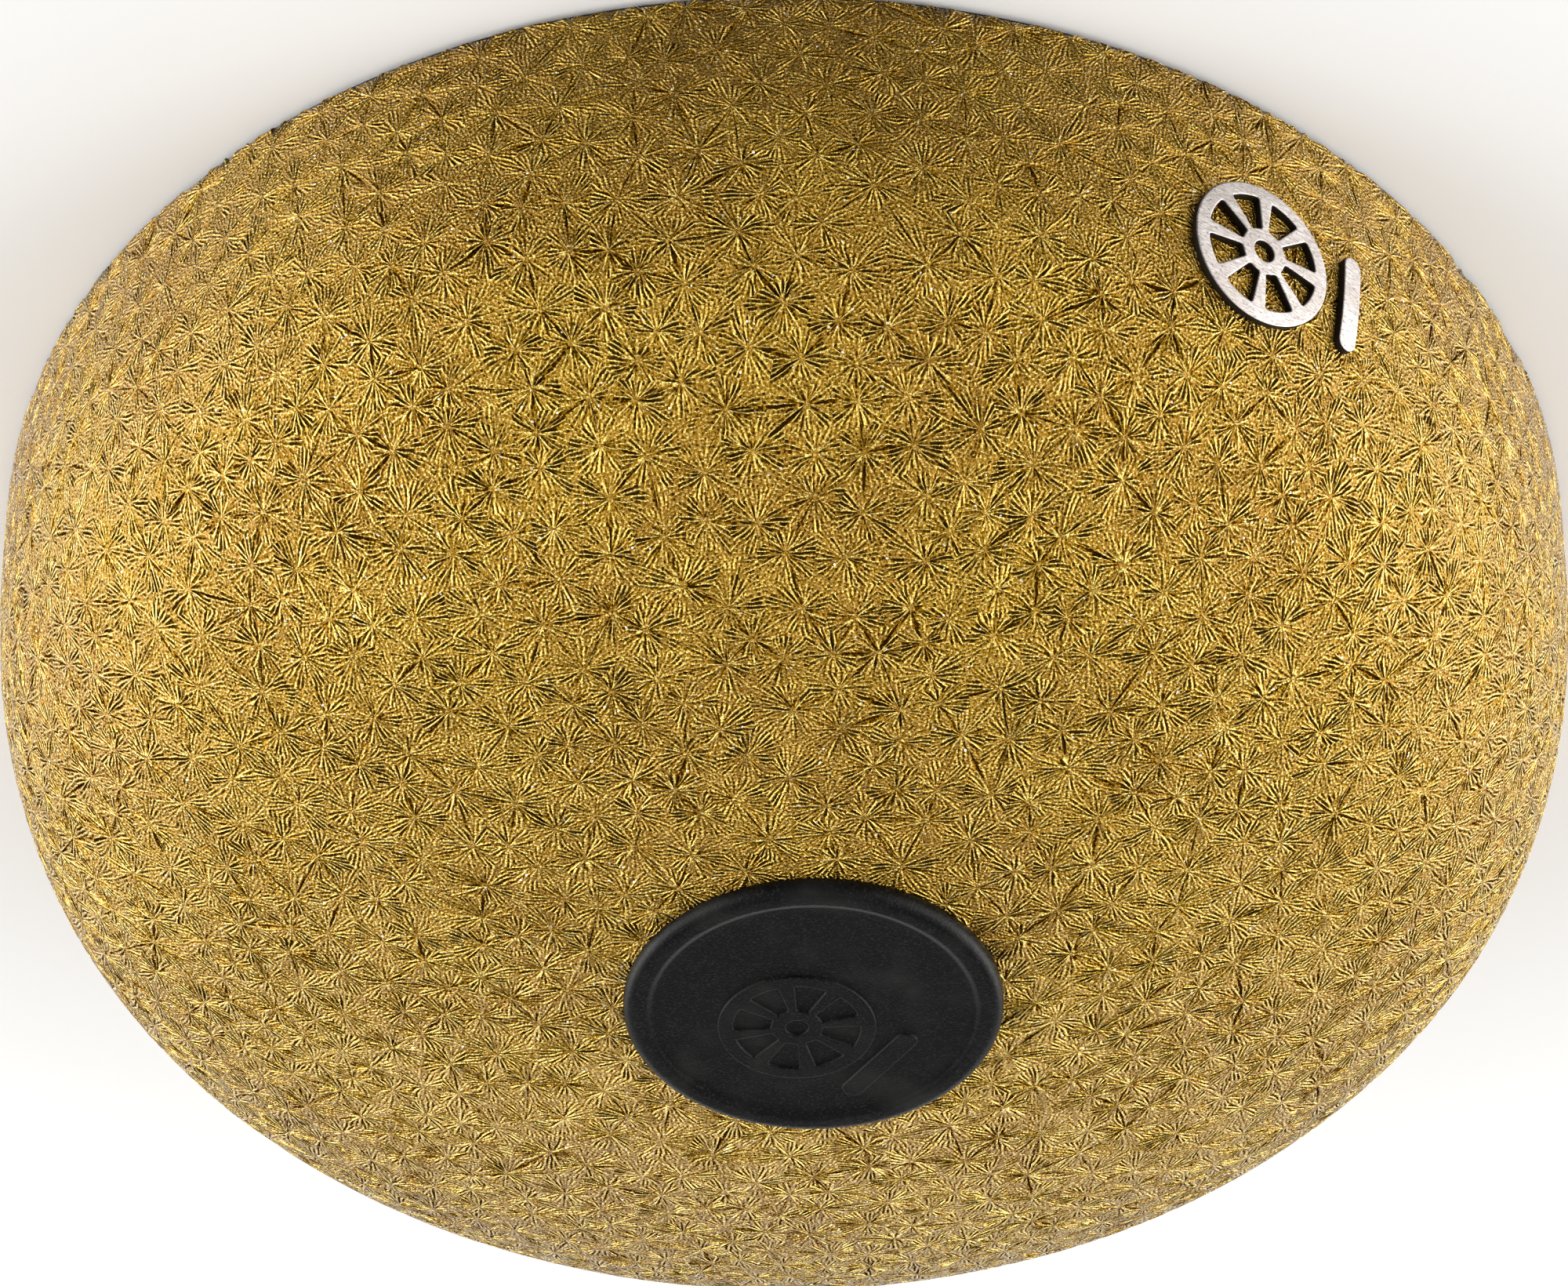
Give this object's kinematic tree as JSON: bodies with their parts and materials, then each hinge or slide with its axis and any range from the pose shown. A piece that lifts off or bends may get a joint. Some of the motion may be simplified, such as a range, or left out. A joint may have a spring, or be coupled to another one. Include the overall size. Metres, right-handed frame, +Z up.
{
  "type": "dome gong",
  "caption": "Hollow dome-shaped gong with a gold crackled covering, a round rubber pad on its crown and a small metal badge near its open rim.",
  "frame": {"origin": "centre of the face the dome rests on, under the rim", "axes": "+Z up through the crown, -Y towards the badge, +X to the right of a person who faces the badge"},
  "size_m": [0.4, 0.4015, 0.1522],
  "materials": {
    "fibreglass": "dark gel coat over woven glass, faintly rough",
    "gold_covering": "metallic gold covering with a star-shaped crackle",
    "hoop_wood": "sanded plywood hoop, clear sealed",
    "seat_rubber": "soft matt strip",
    "pad_rubber": "matt moulded rubber with fine grain",
    "plated_steel": "bright zinc plate",
    "badge_metal": "brushed, slightly worn"
  },
  "bodies": {
    "root": {"shell": "fibreglass", "outer_skin": "gold_covering", "rim_hoop": "hoop_wood", "rim_seat": "seat_rubber", "crown_pad": "pad_rubber", "pad_insert": "plated_steel", "cushion_washer": "seat_rubber", "load_washer": "plated_steel", "lock_nut": "plated_steel", "badge_wheel": "badge_metal", "badge_bar": "badge_metal", "wheel_clips": "plated_steel", "bar_clips": "plated_steel"}
  },
  "joints": []
}
